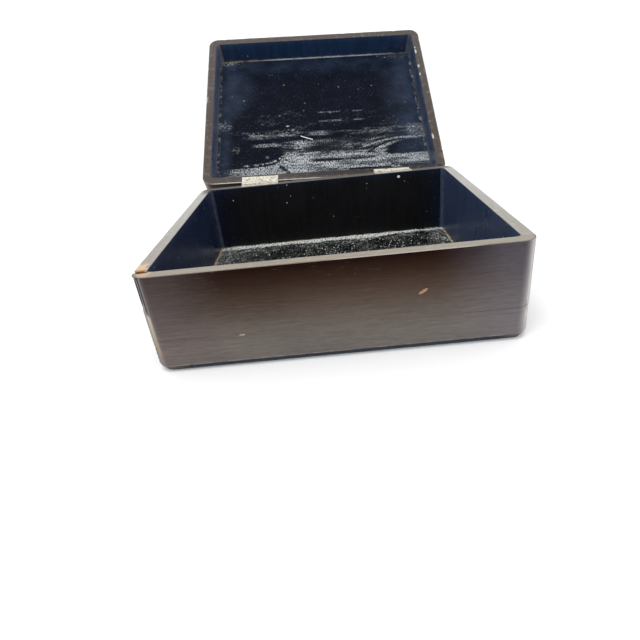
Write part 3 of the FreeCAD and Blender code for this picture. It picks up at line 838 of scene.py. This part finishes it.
def panel_finish(tray):
    """Inside of the lid's panel: blue-black lacquer over raised grain, painted sheen, painted milky glare
    low down.
    """
    f = Finish("panel_lacquer", roughness=0.35, specular=0.05)
    x, y, _ = f.on_board()
    _, haze, sheen = f.split(f.attribute("marks"))
    # painted blue sheen where the marks' sheen is high
    f.color = f.mix(sheen, on_panel(10, 14, 27, glare=0.003), on_panel(45, 55, 73, glare=0.004))
    cloud = f.noise((0.05, 0.05, 0), 4)
    f.color = f.brightness(f.color, f.ramp(cloud, 0.3, 0.7, 0.75, 1.3))
    weave = f.noise((0.9, 0.3, 0), 3, 0.75)
    f.lay(on_panel(140, 152, 172), f.ramp(weave, 0.5, 0.75), f.ramp(cloud, 0.35, 0.65, 0.3, 1), 0.15)
    pores = f.noise((0.95, 0.36, 0), 4, 0.75)
    # painted milky reflection of the overhead light, with dust flecks
    glare_and_dust = f.times(haze, f.ramp(pores, 0.39, 0.6, 0, 1.95))
    f.lay(on_panel(190, 195, 198), f.ramp(glare_and_dust, 0, 1.05))
    f.lay(on_panel(135, 140, 148), f.specks(0.3, 0.14, 0.48), 0.5)
    f.lay(on_panel(150, 155, 162), f.specks(0.12, 0.1, 0.46), 0.35)
    side_line = f.ramp(f.size_of(x), tray.inner_x - 3.4, tray.inner_x - 1.4)
    broken = f.ramp(f.noise((0.2, 0.13, 0), 5), 0.46, 0.66)
    f.lay(on_panel(168, 163, 150), side_line, broken, 0.75)
    top = f.ramp(y, -tray.inner_y + 2.5, -tray.inner_y + 1.5)
    white = f.times(top, f.ramp(f.noise((0.06, 0, 0)), 0.3, 0.5))
    tan = f.mix(f.ramp(x, -52, -66), on_panel(190, 196, 200), on_panel(150, 142, 124))
    f.lay(tan, white, f.ramp(x, 110, 60, 0.25, 1), 0.9)
    hair_way = f.minus(y, f.plus(34, f.times(f.plus(x, 12), 0.45)))
    hair_way = f.plus(hair_way, f.times(f.plus(x, 18), f.plus(x, 18), 0.005))
    hair = f.times(f.band(hair_way, 0, 0.4, 0.45), f.band(x, -17.5, 6.5, 1))
    f.lay(on_panel(232, 234, 234), hair)
    return f.finish(bump=pores, strength=0.3, distance=0.0003,
                    roughness=f.ramp(glare_and_dust, 0, 0.8, 0.3, 0.62))


def underside_finish():
    """Plain stained wood underneath and in the joints."""
    f = Finish("bare_board", roughness=0.7, specular=0.3)
    f.on_board()
    grain = f.noise((0.03, 0.6, 0.6), 6, 0.65)
    f.color = f.mix(f.ramp(grain, 0.3, 0.7), srgb(62, 46, 37), srgb(104, 82, 66))
    f.lay(srgb(150, 130, 108), f.specks(0.3, 0.25, 0.45), 0.5)
    return f.finish(bump=grain, strength=0.3)


def metal_finish(name, bright, dull, rust, rust_share, roughness, metallic):
    """Old plating with rust spots."""
    f = Finish(name, roughness=roughness, specular=0.5, metallic=metallic)
    f.place = f.stretch(f.node("ShaderNodeTexCoord").outputs["Object"], 1 / MM)
    patches = f.noise(0.5, 5, 0.65)
    pits = f.noise(1.7, 4, 0.7)
    f.color = f.mix(f.ramp(patches, 0.35, 0.7), bright, dull)
    stains = f.wander(0.14, 2)
    spots = f.plus(f.times(f.minus(patches, 0.5), 0.7), f.times(stains, 0.5), pits)
    f.lay(rust, f.ramp(spots, 0.66 - rust_share, 0.74 - rust_share))
    return f.finish(bump=f.plus(patches, pits), strength=0.25, distance=0.0001,
                    roughness=f.ramp(spots, 0.5, 0.75, roughness, 0.8))


# ---- building the boards ----
OUTSIDE, INSIDE, RIM, HIDDEN = range(4)
BOARD_FACES = {                  # finishes at low x, high x, low y, high y, the rim and the closed end
    "front": (OUTSIDE, OUTSIDE, OUTSIDE, INSIDE, RIM, HIDDEN),
    "back": (OUTSIDE, OUTSIDE, INSIDE, OUTSIDE, RIM, HIDDEN),
    "left": (OUTSIDE, INSIDE, HIDDEN, HIDDEN, RIM, HIDDEN),
    "right": (INSIDE, OUTSIDE, HIDDEN, HIDDEN, RIM, HIDDEN),
    "floor": (HIDDEN, HIDDEN, HIDDEN, HIDDEN, INSIDE, HIDDEN),
    "panel": (OUTSIDE, OUTSIDE, OUTSIDE, OUTSIDE, INSIDE, OUTSIDE),
}
WALLS = ("front", "back", "left", "right")


def board_spans(kind, tray):
    """X and Y spans of a board, in tray coordinates."""
    half_x, half_y, inner_x, inner_y = tray.half_x, tray.half_y, tray.inner_x, tray.inner_y
    return {
        "front": ((-half_x, half_x), (-half_y, -inner_y)),
        "back": ((-half_x, half_x), (inner_y, half_y)),
        "left": ((-half_x, -inner_x), (-inner_y, inner_y)),
        "right": ((inner_x, half_x), (-inner_y, inner_y)),
        "floor": ((-inner_x, inner_x), (-inner_y, inner_y)),
        "panel": ((-half_x, half_x), (-half_y, half_y)),
    }[kind]


def board_lattice(kind, tray, t_span):
    """Lattice lines of a board, fine at its edges, corners, pockets and chips."""
    x_span, y_span = board_spans(kind, tray)
    step_x, step_y = {"panel": PANEL_STEP, "floor": FLOOR_STEP}.get(kind, WALL_STEP)
    top, bottom = t_span
    corners = [[(half - tray.corner - 2, half, CORNER_STEP),
                (-half, -half + tray.corner + 2, CORNER_STEP)] for half in (tray.half_x, tray.half_y)]
    extra_x = corners[0] if kind in ("front", "back", "panel") else []
    extra_y = corners[1] if kind == "panel" else []
    extra_t = []
    if kind == "back" and top == 0:
        for low, high, front, thick in tray.pockets:
            for edge in (low, high):
                extra_x.append((edge - 2 * POCKET_WALL, edge + 2 * POCKET_WALL, POCKET_WALL))
            extra_y.append((front - 2 * POCKET_WALL, front + POCKET_WALL, POCKET_WALL))
            extra_t.append((0.0, 2 * thick, thick / 2))
    if kind in WALLS and not tray.lid:
        if kind == "back" and top == 0:
            extra_x.append((72.0, 77.0, 0.4))
            extra_t.append((2.5, 7.0, 0.4))
        if kind == "front" and top == 0:
            extra_x += [(50.0, 61.0, 0.45), (-130.0, -116.0, 0.5)]
            extra_t.append((26.0, 32.0, 0.4))
        if kind == "left":
            extra_x.append((*x_span, 0.6))
            extra_y.append((-tray.inner_y, -tray.inner_y + 16, 0.5))
        if kind != "back":
            extra_t.append((bottom - 24.0, bottom, 0.8))
    if kind != "floor" and bottom == tray.depth:
        arris = tray.depth - tray.bevel_height
        extra_t.append((arris - 0.5, arris + 0.5, 0.25))
    if kind in ("left", "right") and top < tray.floor < bottom:
        extra_t.append((tray.floor - 0.6, tray.floor + 1.2, 0.3))
    return (lines(*x_span, step_x, extra_x), lines(*y_span, step_y, extra_y),
            lines(*t_span, WALL_STEP[0], extra_t))


def shape_board(kind, tray, raw):
    """Works a board's lattice points into its rounded form, still in tray coordinates."""
    if kind == "floor":
        return raw
    x, y, t = raw.T
    at_rim = t.min() == 0
    if kind in WALLS and at_rim:
        x, y, t = ease_inner_rim(x, y, t, tray, kind in ("front", "back"))
    bulge = 0
    if kind in ("left", "right"):
        bulge = fill_inner_corner(x, y, t, tray) - x
    rubbed = RIM_ROUNDING * (1 + 0.45 * layered_noise(raw, 9.0, 11))
    x, y, t = round_outside(x, y, t, tray, rubbed)
    if kind == "back" and at_rim:
        t = sink_pockets(x, y, t, tray)
    return np.stack([x + bulge, y, t], axis=1)


def make_board(node, kind, tray, t_span, finishes, body):
    """Builds the visible mesh of one board and puts it in the CAD node's place."""
    raw, quads, sides = lattice_shell(*board_lattice(kind, tray, t_span), mirrored=not tray.lid)
    shaped = shape_board(kind, tray, raw)
    closed = tray.place(shaped)
    which = np.array(BOARD_FACES[kind])[sides]
    if t_span[0] > 0:
        which[which == RIM] = HIDDEN
    shown = np.zeros(len(raw), bool)
    shown[np.unique(quads[which != HIDDEN])] = True

    normals = point_normals(closed, quads[which != HIDDEN])
    depth, bare = (lid_wear if tray.lid else base_wear)(closed, tray)
    depth += WAVE_DEPTH * (1 + layered_noise(closed, 26.0, 12))
    depth += DENT_DEPTH * (1 + noise(closed, 5.0, 13))
    haze = sheen = np.zeros(len(raw))
    if kind == "panel":
        haze, sheen, relief = panel_figure(closed)
        depth += np.where(raw[:, 2] < t_span[0] + NEAR, RELIEF_DEPTH * (1 + relief), 0)
    if kind == "floor":
        haze = floor_dust(closed)
    metres = (closed - normals * (depth * shown)[:, None]) * MM
    if tray.lid:
        turn = np.array(CLOSING.inverted())
        metres = metres @ turn[:3, :3].T + turn[:3, 3]

    far_x, far_y, t = np.abs(raw).T
    out = np.minimum(tray.half_x - far_x, tray.half_y - far_y)
    inn = np.maximum(far_x - tray.inner_x, far_y - tray.inner_y)
    mesh = bpy.data.meshes.new(node + "_worn")
    mesh.from_pydata(metres.tolist(), [], quads.tolist())
    mesh.polygons.foreach_set("material_index", which.astype(np.int32))
    for name, values in (("place", shaped.T), ("near", (out, inn, t)), ("marks", (bare, haze, sheen))):
        vectors = mesh.attributes.new(name, "FLOAT_VECTOR", "POINT")
        vectors.data.foreach_set("vector", np.stack(values, axis=1).astype(np.float32).ravel())
    for material in finishes:
        mesh.materials.append(material)
    mesh.shade_smooth()
    mesh.set_sharp_from_angle(angle=SHARP_ANGLE)
    piece = bpy.data.objects.new(node + "_worn", mesh)
    bpy.context.scene.collection.objects.link(piece)
    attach(piece, body)
    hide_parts(node)


def build_base():
    """The base: four walls of two boards each, and the bottom board."""
    tray = Tray(lid=False)
    paint = partial(on_front, glare=0.004)
    # the front's gradient is painted reflection of the floor: darkest by the rim, lighter towards the
    # closed end, greyer towards the ends
    outside = outside_finish(
        "base_lacquer", tray,
        middle=shades(paint, (0.03, 34, 20, 16), (0.16, 53, 38, 31), (0.35, 78, 65, 57),
                      (0.56, 98, 89, 83), (0.78, 109, 103, 98)),
        left_end=shades(paint, (0.03, 70, 61, 59), (0.25, 82, 72, 71), (0.56, 97, 87, 85),
                        (0.8, 111, 101, 98)),
        right_end=shades(paint, (0.03, 77, 73, 79), (0.25, 85, 80, 84), (0.56, 107, 101, 103),
                         (0.8, 116, 110, 113)))
    # the rims' body colours hold painted reflection: the front and side rims lighter from the bright
    # surroundings, the back rim darker from the lid mirrored in it
    rims = {
        "front": rim_finish(
            "base_rim_front", True, on_rim, lit_span=(5.0, 85.0), front=(167, 158, 143),
            rear=(167, 158, 143), dark=(104, 90, 78), light=(184, 176, 164), chips=(150, 128, 106),
            arris=(110, 96, 84), lit_arris=(196, 188, 180), inner=(128, 124, 112),
            pale=(200, 173, 146)),
        "back": rim_finish(
            "base_rim_rear", True, on_rim, lit_span=(-46.0, -10.0), front=(116, 110, 103),
            rear=(116, 110, 103), dark=(70, 62, 56), light=(122, 116, 108), chips=(160, 150, 136),
            arris=(112, 106, 102), lit_arris=(176, 172, 162), inner=(70, 65, 62),
            pale=(190, 160, 130)),
        "left": rim_finish(
            "base_rim_sides", False, on_rim, shaded=(-110.0, -116.0, 82.0, 97.0),
            front=(172, 165, 156), rear=(192, 189, 183), dark=(130, 122, 114),
            light=(200, 196, 190), chips=(140, 128, 118), arris=(170, 163, 154),
            inner=(130, 126, 122), pale=(226, 193, 154), shade=(108, 100, 102)),
    }
    rims["right"] = rims["left"]
    # the walls' inside colours differ as painted light: the back wall darker as shade, the right wall
    # lighter than the left
    insides = wall_insides(
        "", tray, srgb(130, 104, 82),
        front=((26, 32, 48, 0.5, 0.003), (38, 44, 60, 0.5, 0.003), 0.25, 0.0),
        back=((21, 21, 22, 0.7, 0.003), (19, 24, 37, 0.6, 0.003), 0.15, 0.0),
        left=((23, 29, 45, 0.5, 0.003), (40, 46, 62, 0.55, 0.003), 0.25, 0.0),
        right=((35, 43, 61, 0.5, 0.003), (44, 54, 72, 0.55, 0.003), 0.25, 0.0))
    bare = underside_finish()
    for kind in WALLS:
        finishes = (outside, insides[kind], rims[kind], bare)
        for part, t_span in (("upper", (0.0, tray.seam)), ("lower", (tray.seam, tray.depth))):
            make_board(f"{kind}_{part}_board", kind, tray, t_span, finishes, "box")
    finishes = (outside, floor_finish(tray), bare, bare)
    make_board("bottom_board", "floor", tray, (tray.floor, tray.depth), finishes, "box")


def build_lid():
    """The lid: four walls of one board each, and the panel."""
    tray = Tray(lid=True)
    paint = partial(srgb, light=1.2)
    ends = shades(paint, (0.0, 74, 64, 60), (1.0, 60, 50, 46))
    middle = shades(paint, (0.0, 52, 40, 35), (1.0, 44, 32, 27))
    outside = outside_finish("lid_lacquer", tray, middle, ends, ends)
    colors = dict(front=(86, 78, 74), rear=(80, 70, 64), dark=(56, 46, 42), light=(116, 108, 102),
                  chips=(176, 166, 154), arris=(122, 112, 104), inner=(66, 56, 54),
                  pale=(206, 196, 180))
    rims = {kind: rim_finish(f"lid_rim_{kind}", kind == "front", on_panel, **colors)
            for kind in ("front", "left", "right")}
    colors.update(arris=(120, 110, 102), lit_arris=(228, 226, 220), shade=(48, 44, 46))
    rims["back"] = rim_finish("lid_rim_back", True, on_panel, lit_span=(-112.0, -12.0),
                              shaded=(-55.0, 5.0, 90.0, 96.0), **colors)
    # the side walls are painted lighter than the front and back, as painted light
    insides = wall_insides(
        "lid_", tray, srgb(120, 108, 92),
        front=((22, 33, 51, 0.40, 0.003), (34, 43, 62, 0.42, 0.003), 0.25, 0.0),
        back=((24, 32, 48, 0.6, 0.003), (36, 44, 60, 0.6, 0.003), 0.25, 0.0),
        left=((52, 58, 74, 0.48, 0.006), (76, 80, 92, 0.48, 0.006), 0.1, 0.2),
        right=((42, 50, 66, 0.52, 0.006), (64, 72, 84, 0.52, 0.006), 0.1, 0.15))
    bare = underside_finish()
    for kind in WALLS:
        make_board(f"lid_{kind}_wall", kind, tray, (0.0, tray.floor),
                   (outside, insides[kind], rims[kind], bare), "lid")
    finishes = (outside, panel_finish(tray), bare, bare)
    make_board("lid_top_panel", "panel", tray, (tray.floor, tray.depth), finishes, "lid")


def dress_metal():
    """Finishes for the CAD pieces that stay: hinges, pins, screws and nails."""
    plating = metal_finish("hinge_plating", srgb(206, 204, 192), srgb(158, 152, 134),
                           srgb(104, 70, 40), 0.04, 0.42, 0.3)
    steel = metal_finish("screw_steel", srgb(200, 192, 174), srgb(160, 148, 124),
                         srgb(128, 92, 60), 0.08, 0.45, 0.45)
    iron = metal_finish("nail_iron", srgb(90, 84, 80), srgb(60, 54, 50),
                        srgb(84, 50, 34), 0.1, 0.6, 0.8)
    for name, node in frame["nodes"].items():
        if node.hide_render:
            continue
        chosen = iron if "nails" in name else steel if "screws" in name or "pin" in name else plating
        node.data.materials.clear()
        node.data.materials.append(chosen)


# ---- floor, light and camera ----
def make_stage():
    """A wide white floor under a soft even light."""
    reach = 30.0
    mesh = bpy.data.meshes.new("studio_floor")
    mesh.from_pydata([(-reach, -reach, 0), (reach, -reach, 0), (reach, reach, 0), (-reach, reach, 0)],
                     [], [(0, 1, 2, 3)])
    ground = bpy.data.objects.new("studio_floor", mesh)
    bpy.context.scene.collection.objects.link(ground)
    paint = Finish("studio_floor", roughness=0.9, specular=0.0)
    paint.shader.inputs["Base Color"].default_value = (0.92, 0.92, 0.92, 1)
    mesh.materials.append(paint.material)
    world = bpy.data.worlds.new("studio")
    world.use_nodes = True
    background = world.node_tree.nodes["Background"]
    background.inputs["Color"].default_value = (0.98, 0.99, 1.0, 1)
    background.inputs["Strength"].default_value = 1.15
    bpy.context.scene.world = world


def add_softbox(name, place, target, size, power):
    """A rectangular area light that faces its target."""
    data = bpy.data.lights.new(name, "AREA")
    data.shape = "RECTANGLE"
    data.size, data.size_y = size
    data.energy = power
    light = bpy.data.objects.new(name, data)
    light.location = place
    light.rotation_euler = (Vector(target) - Vector(place)).to_track_quat("-Z", "Y").to_euler()
    bpy.context.scene.collection.objects.link(light)


def make_camera():
    """A close, wide view from the front, slightly above and leaning to the right."""
    data = bpy.data.cameras.new("camera")
    data.lens = 25.8
    data.sensor_width = 36
    data.shift_x = -0.0225
    data.shift_y = -0.0434
    data.clip_start = 0.01
    yaw, pitch, roll = (math.radians(angle) for angle in (-0.51, 27.23, 5.72))
    forward = Vector((math.sin(yaw) * math.cos(pitch), math.cos(yaw) * math.cos(pitch), -math.sin(pitch)))
    level = Vector((math.cos(yaw), -math.sin(yaw), 0))
    below = forward.cross(level)
    right = level * math.cos(roll) + below * math.sin(roll)
    down = below * math.cos(roll) - level * math.sin(roll)
    pose = Matrix((right, -down, -forward)).transposed().to_4x4()
    pose.translation = Vector((0.0007, -0.3726, 0.1859))
    camera = bpy.data.objects.new("camera", data)
    camera.matrix_world = pose
    bpy.context.scene.collection.objects.link(camera)
    bpy.context.scene.camera = camera


build_base()
build_lid()
dress_metal()
make_stage()
add_softbox("overhead", (-0.35, -0.6, 1.8), (0.0, 0.05, 0.0), (0.9, 0.9), 12.0)
make_camera()
bpy.context.scene.view_settings.view_transform = "Standard"
